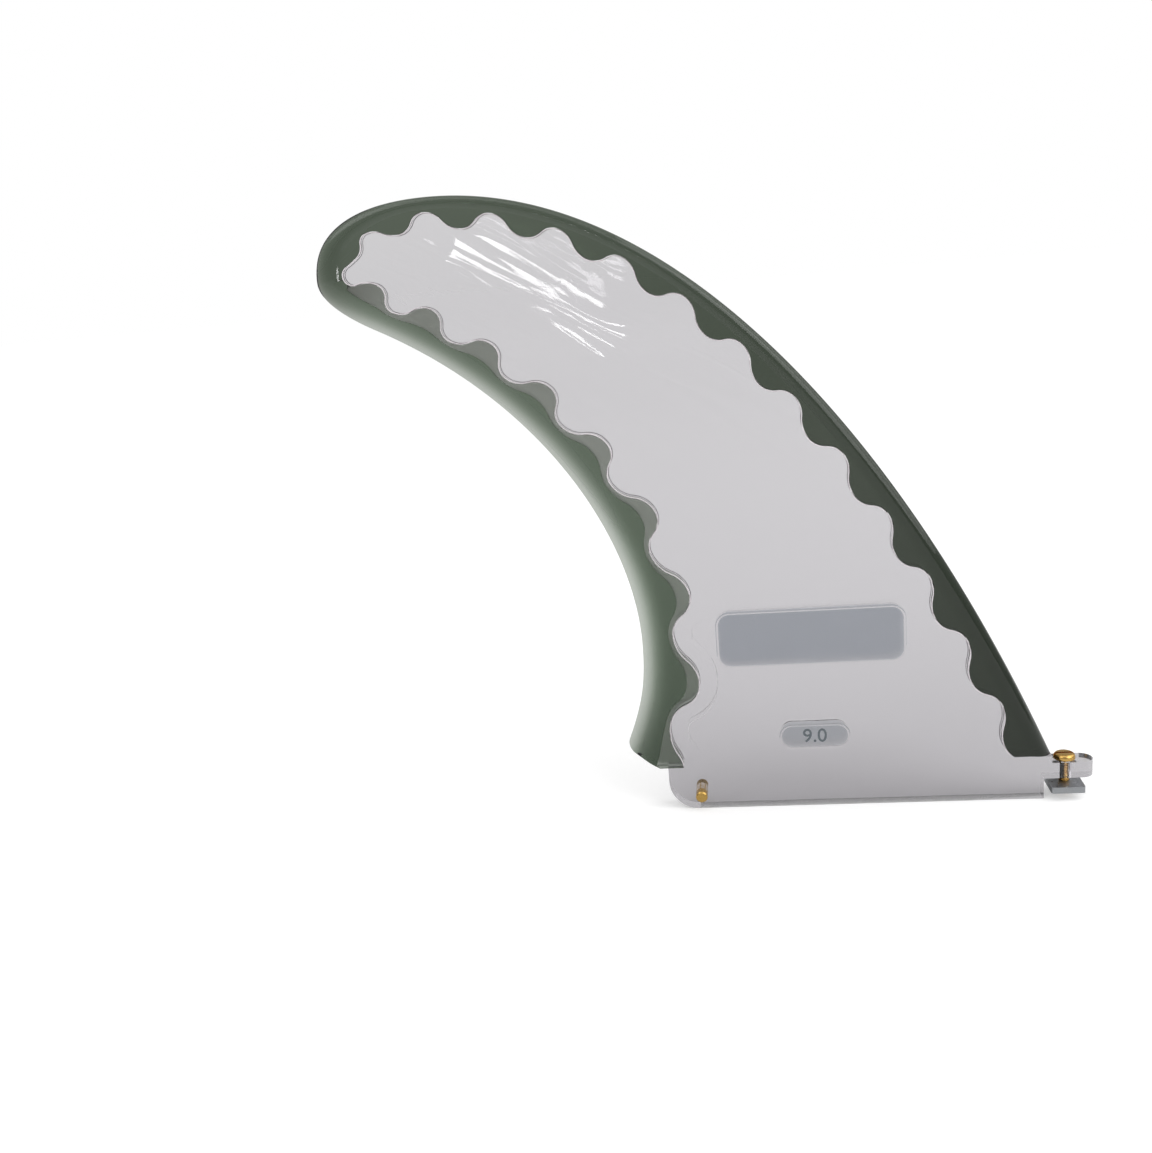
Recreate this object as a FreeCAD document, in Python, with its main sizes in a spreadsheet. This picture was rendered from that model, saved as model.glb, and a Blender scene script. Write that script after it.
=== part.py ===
"""Longboard centre fin: a hard clear core with a soft tinted edge, on a slot-box tab.

The blade stands on +Z. The leading edge looks along +X and the tip sweeps back along -X.
The origin is the middle of the tab's foot face. The board's surface is tab_depth above it.
All lengths are millimetres and all angles are degrees.
"""
import FreeCAD, Part
import Sketcher
import math
import os
from FreeCAD import Vector

doc = FreeCAD.newDocument("longboard_fin")

# Driving dimensions
SIZES = [
    # blade outline, measured back from the leading foot and up from the board
    ("depth", 229.0),
    ("lean", 66.8),
    ("lead_low_pull", 139.0),
    ("lead_high_pull", 92.0),
    ("top_back", 225.0),
    ("tip_reach", 45.0),
    ("tip_drop", 27.0),
    ("top_pull", 32.0),
    ("tip_upper_pull", 15.5),
    ("tip_lower_pull", 9.0),
    ("hook_inset", 21.2),
    ("hook_drop", 46.6),
    ("hook_slope", 27.3),
    ("hook_outer_pull", 4.0),
    ("hook_inner_pull", 70.5),
    ("waist_back", 157.0),
    ("waist_up", 52.0),
    ("waist_upper_pull", 42.0),
    ("waist_lower_pull", 16.0),
    ("heel_flare", 8.7),
    ("heel_up", 10.5),
    ("heel_slope", 67.7),
    ("heel_pull", 18.0),
    ("heel_radius", 3.0),
    ("heel_clear", 3.4),
    ("underside_slope", 31.0),
    # blade section
    ("blade_thickness", 9.3),
    ("tip_thickness", 5.2),
    ("bead_proud", 0.25),
    ("nose_land", 0.3),
    ("trail_thickness", 1.1),
    # width of the soft edge outside the scallops' crests
    ("edge_foot", 7.4),
    ("edge_top", 4.5),
    ("edge_tip", 10.0),
    ("edge_hook", 8.0),
    ("edge_waist", 11.6),
    ("edge_heel", 13.2),
    # scallops between core and soft edge
    ("lead_scallop_depth", 6.2),
    ("lead_scallop_start", 10.6),
    ("lead_scallop_pitch", 30.6),
    ("lead_pitch_change", 0.42),
    ("tip_scallop_depth", 3.0),
    ("trail_scallop_depth", 7.3),
    ("waist_scallop_depth", 9.4),
    ("heel_scallop_depth", 10.0),
    ("trail_scallop_start", 24.0),
    ("trail_scallop_pitch", 21.9),
    ("trail_pitch_change", 1.65),
    ("last_scallop_run", 24.0),
    ("last_scallop_depth", 12.5),
    ("crest_land", 0.9),
    # thin tongue of the core inside the soft trailing edge
    ("key_thickness", 3.6),
    ("key_lip", 0.6),
    ("key_tip_depth", 0.8),
    ("key_heel_depth", 6.5),
    ("key_last_depth", 1.5),
    # tab in the fin box
    ("tab_length", 150.0),
    ("tab_depth", 18.0),
    ("tab_heel_radius", 12.0),
    ("tab_front_setback", 3.0),
    ("tongue_reach", 16.2),
    ("tongue_drop", 3.0),
    ("tongue_height", 6.5),
    # fixings
    ("pin_diameter", 4.7),
    ("pin_length", 17.3),
    ("pin_inset", 13.0),
    ("pin_up", 6.5),
    ("pin_chamfer", 0.5),
    ("screw_ahead", 5.6),
    ("screw_diameter", 4.17),
    ("screw_end_up", 1.5),
    ("screw_hole_clearance", 0.3),
    ("head_diameter", 8.2),
    ("head_height", 2.4),
    ("head_round", 1.5),
    ("slot_width", 1.2),
    ("slot_depth", 1.1),
    ("plate_across", 15.9),
    ("plate_along", 12.7),
    ("plate_thickness", 2.6),
    ("plate_gap", 2.5),
    ("plate_corner", 1.0),
]

sheet = doc.addObject("Spreadsheet::Sheet", "sizes")
for row, (alias, value) in enumerate(SIZES, start=1):
    sheet.set("A%d" % row, alias)
    sheet.set("B%d" % row, str(value))
    sheet.setAlias("B%d" % row, alias)
doc.recompute()


def size(alias):
    """The value of one driving dimension."""
    return float(sheet.get(alias))


# Blade outline

FOOT_X = size("tab_length") / 2
BOARD_Z = size("tab_depth")


def on_plan(back, up):
    """A point of the mid-plane, given back from the leading foot and up from the board."""
    return Vector(FOOT_X - back, 0, BOARD_Z + up)


def heading(angle):
    """A unit direction of the mid-plane: 0 looks forward and 90 looks up."""
    turn = math.radians(angle)
    return Vector(math.cos(turn), 0, math.sin(turn))


def bezier(start, start_pull, end_pull, end):
    """A cubic curve from start to end, with a handle at each."""
    curve = Part.BezierCurve()
    curve.setPoles([start, start + start_pull, end + end_pull, end])
    return curve.toShape()


def outline_edges():
    """The blade's side outline, up the leading edge, round the tip and down the trailing edge."""
    tip_back = size("top_back") + size("tip_reach")
    foot = on_plan(0, 0)
    top = on_plan(size("top_back"), size("depth"))
    tip = on_plan(tip_back, size("depth") - size("tip_drop"))
    hook = on_plan(tip_back - size("hook_inset"), size("depth") - size("hook_drop"))
    waist = on_plan(size("waist_back"), size("waist_up"))
    heel = on_plan(size("waist_back") + size("heel_flare"), size("heel_up"))
    leaning = heading(180 - size("lean"))
    hooking = heading(-size("hook_slope"))
    flaring = heading(180 + size("heel_slope"))
    up = Vector(0, 0, 1)
    forward = Vector(1, 0, 0)
    run_out = 2 * BOARD_Z
    return [
        Part.makeLine(foot - leaning * run_out, foot),
        bezier(foot, leaning * size("lead_low_pull"), forward * size("lead_high_pull"), top),
        bezier(top, forward * -size("top_pull"), up * size("tip_upper_pull"), tip),
        bezier(tip, up * -size("tip_lower_pull"), hooking * -size("hook_outer_pull"), hook),
        bezier(hook, hooking * size("hook_inner_pull"), up * size("waist_upper_pull"), waist),
        bezier(waist, up * -size("waist_lower_pull"), flaring * -size("heel_pull"), heel),
        Part.makeLine(heel, heel + flaring * run_out),
    ]


EDGES = outline_edges()
# Runs along the outline are measured from the leading foot, so the first edge lies below 0
CORNERS = [-EDGES[0].Length]
for edge in EDGES:
    CORNERS.append(CORNERS[-1] + edge.Length)
START_RUN, FOOT_RUN, TOP_RUN, TIP_RUN, HOOK_RUN, WAIST_RUN, HEEL_RUN, END_RUN = CORNERS


def outline_at(run):
    """The outline's point at a run, with the direction into the blade there."""
    index = 0
    while index < len(EDGES) - 1 and run > CORNERS[index + 1]:
        index += 1
    edge = EDGES[index]
    length = min(max(run - CORNERS[index], 0.0), edge.Length)
    parameter = edge.getParameterByLength(length)
    along = edge.tangentAt(parameter)
    return edge.valueAt(parameter), Vector(-along.z, 0, along.x)


def inset(run, distance):
    """A mid-plane point at a distance inside the outline."""
    point, inward = outline_at(run)
    return point + inward * distance


def middle(a, b):
    """The value halfway between two."""
    return (a + b) / 2


def blended(run, stations):
    """A value that runs smoothly between (run, value) stations and is level at each."""
    if run <= stations[0][0]:
        return stations[0][1]
    for (run_a, value_a), (run_b, value_b) in zip(stations, stations[1:]):
        if run <= run_b:
            share = (run - run_a) / (run_b - run_a)
            return value_a + (value_b - value_a) * share * share * (3 - 2 * share)
    return stations[-1][1]


def edge_width(run):
    """How far the scallops' crests lie inside the outline."""
    return blended(run, [
        (FOOT_RUN, size("edge_foot")),
        (TOP_RUN, size("edge_top")),
        (TIP_RUN, size("edge_tip")),
        (HOOK_RUN, size("edge_hook")),
        (WAIST_RUN, size("edge_waist")),
        (HEEL_RUN, size("edge_heel")),
    ])


# Blade solid

def half_thickness(z):
    """Half the flat panel's thickness at a height: it thins evenly from board to tip."""
    share = (z - BOARD_Z) / size("depth")
    thickness = size("blade_thickness") + (size("tip_thickness") - size("blade_thickness")) * share
    return thickness / 2


CROWN_TURN = 0.72  # where the leading bead is highest, between its nose at 0 and the panel at 1
CROWN_SHARE = 0.62  # how far across the soft edge's width that is
BORDER_TURNS = [0.0, 0.2, 0.38, 0.55, CROWN_TURN, 0.86, 1.0]


def bead_profile(turn, land, full):
    """The leading edge's round bead, from the flat land on its nose to the panel's rim.

    Gives the share of the edge's width from the outline, and the height above the mid-plane.
    """
    crown = full + size("bead_proud")
    if turn <= CROWN_TURN:
        angle = math.pi / 2 * turn / CROWN_TURN
        return CROWN_SHARE * (1 - math.cos(angle)), land + (crown - land) * math.sin(angle)
    settle = (turn - CROWN_TURN) / (1 - CROWN_TURN)
    height = middle(crown, full) + (crown - full) / 2 * math.cos(math.pi * settle)
    return CROWN_SHARE + (1 - CROWN_SHARE) * settle, height


def taper_profile(turn, land, full):
    """The trailing edge's taper, thin at its blunt edge and level again at the panel's rim."""
    return turn, middle(land, full) - (full - land) / 2 * math.cos(math.pi * turn)


def border_point(run, turn):
    """A point of the blade's curved border: turn 0 is the outline and 1 the panel's rim."""
    full = half_thickness(inset(run, edge_width(run)).z)
    trailing = blended(run, [(TOP_RUN, 0.0), (HOOK_RUN, 1.0)])
    land = blended(run, [(TOP_RUN, size("nose_land")), (HOOK_RUN, size("trail_thickness"))]) / 2
    bead_share, bead_height = bead_profile(turn, land, full)
    taper_share, taper_height = taper_profile(turn, land, full)
    share = bead_share * (1 - trailing) + taper_share * trailing
    height = bead_height * (1 - trailing) + taper_height * trailing
    return inset(run, share * edge_width(run)) - Vector(0, height, 0)


def border_runs():
    """Where the border's sections stand: close together round the tip, far apart elsewhere."""
    spans = [1, 9, 5, 4, 7, 3, 1]
    runs = [START_RUN]
    for count, start, end in zip(spans, CORNERS, CORNERS[1:]):
        runs += [start + (end - start) * (i + 1) / count for i in range(count)]
    return runs


def curve_through(points, parameters):
    """A smooth curve that meets each point at its parameter."""
    curve = Part.BSplineCurve()
    curve.interpolate(Points=points, Parameters=parameters)
    return curve


def surface_through(rows, row_parameters, cross_parameters):
    """A smooth surface through a grid of points, exact enough to keep flat rows flat."""
    lengthwise = [curve_through(list(line), row_parameters) for line in zip(*rows)]
    poles = [
        curve_through(list(line), cross_parameters)
        for line in zip(*[curve.getPoles() for curve in lengthwise])
    ]
    surface = Part.BSplineSurface()
    surface.buildFromPolesMultsKnots(
        [curve.getPoles() for curve in poles],
        lengthwise[0].getMultiplicities(),
        poles[0].getMultiplicities(),
        lengthwise[0].getKnots(),
        poles[0].getKnots(),
        False,
        False,
        3,
        3,
    )
    return surface


def blade_solid():
    """The foiled blade: two curved borders and two flat panels, closed below the board."""
    runs = border_runs()
    rows = [[border_point(run, turn) for turn in BORDER_TURNS] for run in runs]
    surface = surface_through(rows, runs, BORDER_TURNS)
    first_run, last_run, first_turn, last_turn = surface.bounds()
    strips = list(zip(BORDER_TURNS, BORDER_TURNS[1:]))
    stretches = list(zip(CORNERS, CORNERS[1:]))
    near_border = []
    for low, high in strips:
        for start, end in stretches:
            piece = surface.copy()
            piece.segment(start, end, low, high)
            near_border.append(piece.toShape())
    near_start = [surface.uIso(first_run).toShape(low, high) for low, high in strips]
    near_end = [surface.uIso(last_run).toShape(low, high) for low, high in strips]
    near_nose = [surface.vIso(first_turn).toShape(start, end) for start, end in stretches]
    near_rim = [surface.vIso(last_turn).toShape(start, end) for start, end in stretches]
    near_sill = Part.makeLine(near_rim[-1].Vertexes[-1].Point, near_rim[0].Vertexes[0].Point)
    near_panel = Part.Face(Part.Wire(near_rim + [near_sill]))

    def far(shape):
        return shape.mirror(Vector(0, 0, 0), Vector(0, 1, 0))

    def across(shape, index):
        return Part.makeLine(shape.Vertexes[index].Point, far(shape).Vertexes[index].Point)

    def cap(near_edges, ties):
        edges = near_edges + [far(edge) for edge in near_edges] + ties
        return Part.Face(Part.Wire(Part.__sortEdges__(edges)))

    start_tie = across(near_rim[0], 0)
    end_tie = across(near_rim[-1], -1)
    faces = [Part.makeRuledSurface(edge, far(edge)) for edge in near_nose]
    faces += [near_panel, far(near_panel)]
    faces += near_border + [far(face) for face in near_border]
    faces.append(cap(near_start, [across(near_nose[0], 0), start_tie]))
    faces.append(cap(near_end, [across(near_nose[-1], -1), end_tie]))
    faces.append(cap([near_sill], [start_tie, end_tie]))
    shell = Part.makeShell(faces)
    shell.sewShape()
    solid = Part.makeSolid(shell)
    if solid.Volume < 0:
        solid.reverse()
    return solid


# Scallops


def scallop_depth(run):
    """How far a valley reaches in from the crests."""
    return blended(run, [
        (TOP_RUN, size("lead_scallop_depth")),
        (TIP_RUN, size("tip_scallop_depth")),
        (HOOK_RUN, size("trail_scallop_depth")),
        (WAIST_RUN, size("waist_scallop_depth")),
        (HEEL_RUN, size("heel_scallop_depth")),
    ])


def valley_runs(start, pitch, change, end):
    """The runs of the valleys from start to end: each pitch differs from the last by change."""
    runs = [start]
    while runs[-1] + pitch <= end:
        runs.append(runs[-1] + pitch)
        pitch += change
    return runs


LEAD_VALLEYS = valley_runs(
    size("lead_scallop_start"), size("lead_scallop_pitch"), -size("lead_pitch_change"),
    TIP_RUN - size("trail_scallop_start") / 2,
)
TRAIL_VALLEYS = valley_runs(
    TIP_RUN + size("trail_scallop_start"), size("trail_scallop_pitch"), size("trail_pitch_change"),
    HEEL_RUN - size("last_scallop_run"),
)


def key_depth(run):
    """How far a valley of the core's hidden key reaches in."""
    return blended(run, [(TIP_RUN, size("key_tip_depth")), (HEEL_RUN, size("key_heel_depth"))])


LEAD_CREST_SHARE = 0.56  # how far along to the next valley each crest stands
TRAIL_CREST_SHARE = 0.42


def crest_after(run, next_run):
    """The run of the crest between two valleys: the scallops lean towards the board."""
    share = blended(run, [(TOP_RUN, LEAD_CREST_SHARE), (HOOK_RUN, TRAIL_CREST_SHARE)])
    return run + (next_run - run) * share


def tangent_arc(start, handle, end):
    """An arc between two points, where the tangents at both meet at the handle."""
    chord_middle = middle(start, end)
    leaning = math.cos((handle - start).getAngle(end - start))
    apex = chord_middle + (handle - chord_middle) * (leaning / (1 + leaning))
    return Part.Arc(start, apex, end).toShape()


def scallop_arcs(start_turn, end_turn):
    """Two arcs that meet smoothly, from crest to valley or back, level with the outline at both."""
    start, end = inset(*start_turn), inset(*end_turn)
    along = []
    for run, _ in (start_turn, end_turn):
        inward = outline_at(run)[1]
        along.append(Vector(inward.z, 0, -inward.x).normalize())
    gap = end - start
    lead = gap.dot(along[0] + along[1])
    spread = 2 * (1 - along[0].dot(along[1]))
    reach = gap.Length ** 2 / (lead + math.sqrt(lead ** 2 + spread * gap.Length ** 2))
    handles = start + along[0] * reach, end - along[1] * reach
    meeting = middle(*handles)
    return [tangent_arc(start, handles[0], meeting), tangent_arc(meeting, handles[1], end)]


def scalloped_edges(valleys, crest_inset, valley_depth, last_depth):
    """Curves through crests and valleys in turn, from a crest below the board and back."""
    first_crest = crest_after(2 * valleys[0] - valleys[1], valleys[0])
    turns = [(first_crest, crest_inset(first_crest))]
    for run, next_run in zip(valleys, valleys[1:] + [2 * valleys[-1] - valleys[-2]]):
        crest = crest_after(run, next_run)
        turns.append((run, crest_inset(run) + valley_depth(run)))
        turns.append((crest, crest_inset(crest)))
    last_valley = turns[-1][0] + size("last_scallop_run")
    turns.append((last_valley, crest_inset(last_valley) + last_depth))
    return [arc for start, end in zip(turns, turns[1:]) for arc in scallop_arcs(start, end)]


def plate_between(edges, corners, thickness):
    """A plate centred on the mid-plane: its outline runs along the edges and back by the corners."""
    first = edges[0].Vertexes[0].Point
    last = edges[-1].Vertexes[-1].Point
    closing = Part.makePolygon([last] + corners + [first])
    face = Part.Face(Part.Wire(edges + closing.Edges))
    face.translate(Vector(0, -thickness / 2, 0))
    return face.extrude(Vector(0, thickness, 0))


def scalloped_plate():
    """The core's outline inside the soft edge, as a plate thicker than the blade."""
    edges = scalloped_edges(
        LEAD_VALLEYS + TRAIL_VALLEYS,
        lambda run: edge_width(run) + size("crest_land"),
        scallop_depth,
        size("last_scallop_depth"),
    )
    first = edges[0].Vertexes[0].Point
    last = edges[-1].Vertexes[-1].Point
    deep = min(first.z, last.z) - BOARD_Z
    corners = [Vector(last.x, 0, deep), Vector(first.x, 0, deep)]
    return plate_between(edges, corners, 2 * size("blade_thickness"))


def key_plate():
    """The thin key that runs on from the core into the soft trailing edge."""
    edges = scalloped_edges(
        TRAIL_VALLEYS,
        lambda run: edge_width(run) - size("key_lip"),
        key_depth,
        size("key_last_depth"),
    )
    last = edges[-1].Vertexes[-1].Point
    inner = [inset(run, edge_width(run) + 2 * scallop_depth(run)) for run in LEAD_VALLEYS]
    deep = min(inner[0].z, last.z) - BOARD_Z
    corners = [Vector(last.x, 0, deep), Vector(inner[0].x, 0, deep)] + inner
    return plate_between(edges, corners, size("key_thickness"))


def heel_cutter():
    """What is cut from the blade below its heel: a slope up from the slot and a round corner."""
    start = on_plan(size("tab_length") + size("heel_clear"), 0)
    heel = on_plan(size("waist_back") + size("heel_flare"), size("heel_up"))
    rearward = heading(180 - size("underside_slope"))
    upward = heading(size("heel_slope"))
    gap = heel - start
    slope = rearward.x * upward.z - rearward.z * upward.x
    corner = start + rearward * ((gap.x * upward.z - gap.z * upward.x) / slope)
    half_turn = (180 - size("underside_slope") - size("heel_slope")) / 2
    reach = size("heel_radius") / math.tan(math.radians(half_turn))
    to_middle = size("heel_radius") / math.sin(math.radians(half_turn)) - size("heel_radius")
    bisector = (upward - rearward).normalize()
    below = corner - rearward * reach
    behind = corner + upward * reach
    arc = Part.Arc(below, corner + bisector * to_middle, behind).toShape()
    wide = 2 * size("blade_thickness")
    far_back = Vector(behind.x - wide, 0, behind.z)
    path = Part.makePolygon([
        behind,
        far_back,
        Vector(far_back.x, 0, start.z - wide),
        Vector(start.x, 0, start.z - wide),
        start,
        below,
    ])
    face = Part.Face(Part.Wire([arc] + path.Edges))
    face.translate(Vector(0, -wide / 2, 0))
    return face.extrude(Vector(0, wide, 0))


def feature(name, shape):
    """A document object that holds a shape made from the sheet's sizes."""
    made = doc.addObject("Part::Feature", name)
    made.Shape = shape
    return made


def boolean(kind, name, base, tool):
    """A cut or a common of two document objects."""
    made = doc.addObject("Part::" + kind, name)
    made.Base = base
    made.Tool = tool
    return made


blade = feature("blade_blank", blade_solid())
below_board = feature("below_board", Part.makeBox(
    4 * size("depth"), 4 * size("blade_thickness"), 4 * BOARD_Z,
    Vector(-2 * size("depth"), -2 * size("blade_thickness"), -3 * BOARD_Z),
))
blade_above = boolean("Cut", "blade_above_board", blade, below_board)
scallops = feature("scalloped_plate", scalloped_plate())
core_blade = boolean("Common", "core_blade", blade_above, scallops)
key_outline = feature("key_outline", key_plate())
key = boolean("Common", "core_key", blade_above, key_outline)
heel_waste = feature("heel_waste", heel_cutter())


# Sketched pieces


def new_body(name):
    body = doc.addObject("PartDesign::Body", name)
    return body


def sketch_on(body, name, role, raised="0"):
    """A sketch on one of the body's base planes, raised along that plane's normal."""
    sketch = body.newObject("Sketcher::SketchObject", name)
    plane = next(item for item in body.Origin.OriginFeatures if item.Role == role)
    sketch.AttachmentSupport = [(plane, "")]
    sketch.MapMode = "FlatFace"
    sketch.setExpression("AttachmentOffset.Base.z", raised)
    return sketch


def place(sketch, geometry, point, across, up):
    """Fix one point of a sketch by two expressions, measured from the sketch's origin."""
    for kind, axis, expression in (("DistanceX", -2, across), ("DistanceY", -1, up)):
        if expression == "0":
            sketch.addConstraint(Sketcher.Constraint("PointOnObject", geometry, point, axis))
            continue
        value = float(sketch.evalExpression(expression))
        index = sketch.addConstraint(Sketcher.Constraint(kind, -1, 1, geometry, point, value))
        sketch.setExpression("Constraints[%d]" % index, expression)


def polygon(sketch, corners):
    """A closed outline through corners given as pairs of expressions."""
    points = [
        Vector(float(sketch.evalExpression(across)), float(sketch.evalExpression(up)), 0)
        for across, up in corners
    ]
    for start, end in zip(points, points[1:] + points[:1]):
        sketch.addGeometry(Part.LineSegment(start, end), False)
    for index, (across, up) in enumerate(corners):
        before = (index - 1) % len(corners)
        sketch.addConstraint(Sketcher.Constraint("Coincident", before, 2, index, 1))
        place(sketch, index, 1, across, up)


def circle(sketch, across, up, diameter):
    """A circle with its centre and diameter given as expressions."""
    centre = Vector(float(sketch.evalExpression(across)), float(sketch.evalExpression(up)), 0)
    radius = float(sketch.evalExpression(diameter)) / 2
    index = sketch.addGeometry(Part.Circle(centre, Vector(0, 0, 1), radius), False)
    place(sketch, index, 3, across, up)
    constraint = sketch.addConstraint(Sketcher.Constraint("Diameter", index, 2 * radius))
    sketch.setExpression("Constraints[%d]" % constraint, diameter)


def pad(body, name, sketch, length, symmetric=False):
    made = body.newObject("PartDesign::Pad", name)
    made.Profile = sketch
    made.setExpression("Length", length)
    if symmetric:
        made.SideType = "Symmetric"
    doc.recompute()
    return made


def pocket(body, name, sketch):
    """A pocket that goes right through, both ways from its sketch."""
    before = body.Shape.Volume
    made = body.newObject("PartDesign::Pocket", name)
    made.Profile = sketch
    made.Type = "ThroughAll"
    made.SideType = "Symmetric"
    doc.recompute()
    if made.Shape.Volume >= before:
        raise ValueError(name + " cuts nothing")
    return made


def rounded(body, name, base, chosen, radius, kind="Fillet"):
    """A fillet or a chamfer on the chosen edges of the body's last feature."""
    names = [
        "Edge%d" % (index + 1)
        for index, item in enumerate(base.Shape.Edges) if chosen(item)
    ]
    made = body.newObject("PartDesign::" + kind, name)
    made.Base = (base, names)
    made.setExpression("Radius" if kind == "Fillet" else "Size", radius)
    doc.recompute()
    return made


def upright(item):
    return len(item.Vertexes) == 2 and abs(item.tangentAt(item.FirstParameter).z) > 0.999


def crosswise(item):
    return len(item.Vertexes) == 2 and abs(item.tangentAt(item.FirstParameter).y) > 0.999


def at_height(item, z):
    return all(abs(vertex.Z - z) < 1e-4 for vertex in item.Vertexes)


# Tab: the part of the core that goes into the fin box

tab = new_body("fin_tab")
tab_side = sketch_on(tab, "tab_side", "XZ_Plane")
polygon(tab_side, [
    ("-sizes.tab_length / 2", "0"),
    ("sizes.tab_length / 2 - sizes.tab_front_setback", "0"),
    ("sizes.tab_length / 2 - sizes.tab_front_setback",
     "sizes.tab_depth - sizes.tongue_drop - sizes.tongue_height"),
    ("sizes.tab_length / 2", "sizes.tab_depth - sizes.tongue_drop - sizes.tongue_height"),
    ("sizes.tab_length / 2", "sizes.tab_depth"),
    ("-sizes.tab_length / 2", "sizes.tab_depth"),
])
tab_pad = pad(tab, "tab_pad", tab_side, "sizes.blade_thickness", True)
tab_heel = rounded(
    tab, "tab_heel", tab_pad,
    lambda item: crosswise(item) and at_height(item, 0) and item.Vertexes[0].X < 0,
    "sizes.tab_heel_radius",
)
tongue_plan = sketch_on(
    tab, "tongue_plan", "XY_Plane", "sizes.tab_depth - sizes.tongue_drop - sizes.tongue_height")
polygon(tongue_plan, [
    ("sizes.tab_length / 2 - sizes.tab_front_setback", "-sizes.blade_thickness / 2"),
    ("sizes.tab_length / 2 + sizes.tongue_reach", "-sizes.blade_thickness / 2"),
    ("sizes.tab_length / 2 + sizes.tongue_reach", "sizes.blade_thickness / 2"),
    ("sizes.tab_length / 2 - sizes.tab_front_setback", "sizes.blade_thickness / 2"),
])
tongue_pad = pad(tab, "tongue_pad", tongue_plan, "sizes.tongue_height")
tongue_end = rounded(
    tab, "tongue_end", tongue_pad,
    lambda item: upright(item) and item.Vertexes[0].X > FOOT_X + size("tongue_reach") - 0.01,
    "sizes.blade_thickness / 2 - 0.01",
)
screw_hole_plan = sketch_on(tab, "screw_hole_plan", "XY_Plane")
circle(
    screw_hole_plan, "sizes.tab_length / 2 + sizes.screw_ahead", "0",
    "sizes.screw_diameter + sizes.screw_hole_clearance",
)
screw_hole = pocket(tab, "screw_hole", screw_hole_plan)
pin_hole_side = sketch_on(tab, "pin_hole_side", "XZ_Plane")
circle(
    pin_hole_side, "sizes.pin_inset - sizes.tab_length / 2", "sizes.pin_up",
    "sizes.pin_diameter",
)
pin_hole = pocket(tab, "pin_hole", pin_hole_side)

fin_core = doc.addObject("Part::MultiFuse", "fin_core")
fin_core.Shapes = [core_blade, key, tab]
fin_core.Refine = True

# Soft edge: the rest of the blade, moulded on to the core

edge_blank = boolean("Cut", "edge_blank", blade_above, heel_waste)
flex_edge = boolean("Cut", "flex_edge", edge_blank, fin_core)

# Cross pin

cross_pin = new_body("cross_pin")
pin_side = sketch_on(cross_pin, "pin_side", "XZ_Plane")
circle(
    pin_side, "sizes.pin_inset - sizes.tab_length / 2", "sizes.pin_up", "sizes.pin_diameter")
pin_pad = pad(cross_pin, "pin_pad", pin_side, "sizes.pin_length", True)
pin_ends = rounded(
    cross_pin, "pin_ends", pin_pad, lambda item: len(item.Vertexes) == 1,
    "sizes.pin_chamfer", "Chamfer",
)

# Screw

fin_screw = new_body("fin_screw")
shank_plan = sketch_on(
    fin_screw, "shank_plan", "XY_Plane",
    "sizes.screw_end_up")
circle(shank_plan, "sizes.tab_length / 2 + sizes.screw_ahead", "0", "sizes.screw_diameter")
shank = pad(
    fin_screw, "shank", shank_plan, "sizes.tab_depth - sizes.tongue_drop - sizes.screw_end_up")
shank_tip = rounded(
    fin_screw, "shank_tip", shank,
    lambda item: at_height(item, size("screw_end_up")) and len(item.Vertexes) == 1,
    "sizes.pin_chamfer", "Chamfer",
)
head_plan = sketch_on(fin_screw, "head_plan", "XY_Plane", "sizes.tab_depth - sizes.tongue_drop")
circle(head_plan, "sizes.tab_length / 2 + sizes.screw_ahead", "0", "sizes.head_diameter")
head = pad(fin_screw, "head", head_plan, "sizes.head_height")
HEAD_TOP = BOARD_Z - size("tongue_drop") + size("head_height")
head_dome = rounded(
    fin_screw, "head_dome", head,
    lambda item: at_height(item, HEAD_TOP) and len(item.Vertexes) == 1, "sizes.head_round",
)
slot_plan = sketch_on(
    fin_screw, "slot_plan", "XY_Plane", "sizes.tab_depth - sizes.tongue_drop + sizes.head_height")
polygon(slot_plan, [
    ("sizes.tab_length / 2 + sizes.screw_ahead - sizes.head_diameter", "-sizes.slot_width / 2"),
    ("sizes.tab_length / 2 + sizes.screw_ahead + sizes.head_diameter", "-sizes.slot_width / 2"),
    ("sizes.tab_length / 2 + sizes.screw_ahead + sizes.head_diameter", "sizes.slot_width / 2"),
    ("sizes.tab_length / 2 + sizes.screw_ahead - sizes.head_diameter", "sizes.slot_width / 2"),
])
full_head = fin_screw.Shape.Volume
slot = fin_screw.newObject("PartDesign::Pocket", "slot")
slot.Profile = slot_plan
slot.setExpression("Length", "sizes.slot_depth")
doc.recompute()
if slot.Shape.Volume >= full_head:
    raise ValueError("the driver slot cuts nothing")

# Square plate that the screw draws up inside the box

screw_plate = new_body("screw_plate")
plate_plan = sketch_on(
    screw_plate, "plate_plan", "XY_Plane",
    "sizes.tab_depth - sizes.tongue_drop - sizes.tongue_height - sizes.plate_gap"
    " - sizes.plate_thickness",
)
polygon(plate_plan, [
    ("sizes.tab_length / 2 + sizes.screw_ahead - sizes.plate_along / 2", "-sizes.plate_across / 2"),
    ("sizes.tab_length / 2 + sizes.screw_ahead + sizes.plate_along / 2", "-sizes.plate_across / 2"),
    ("sizes.tab_length / 2 + sizes.screw_ahead + sizes.plate_along / 2", "sizes.plate_across / 2"),
    ("sizes.tab_length / 2 + sizes.screw_ahead - sizes.plate_along / 2", "sizes.plate_across / 2"),
])
plate_pad = pad(screw_plate, "plate_pad", plate_plan, "sizes.plate_thickness")
plate_corners = rounded(screw_plate, "plate_corners", plate_pad, upright, "sizes.plate_corner")
plate_hole_plan = sketch_on(screw_plate, "plate_hole_plan", "XY_Plane")
circle(plate_hole_plan, "sizes.tab_length / 2 + sizes.screw_ahead", "0", "sizes.screw_diameter")
plate_hole = pocket(screw_plate, "plate_hole", plate_hole_plan)

# Check and write

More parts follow.
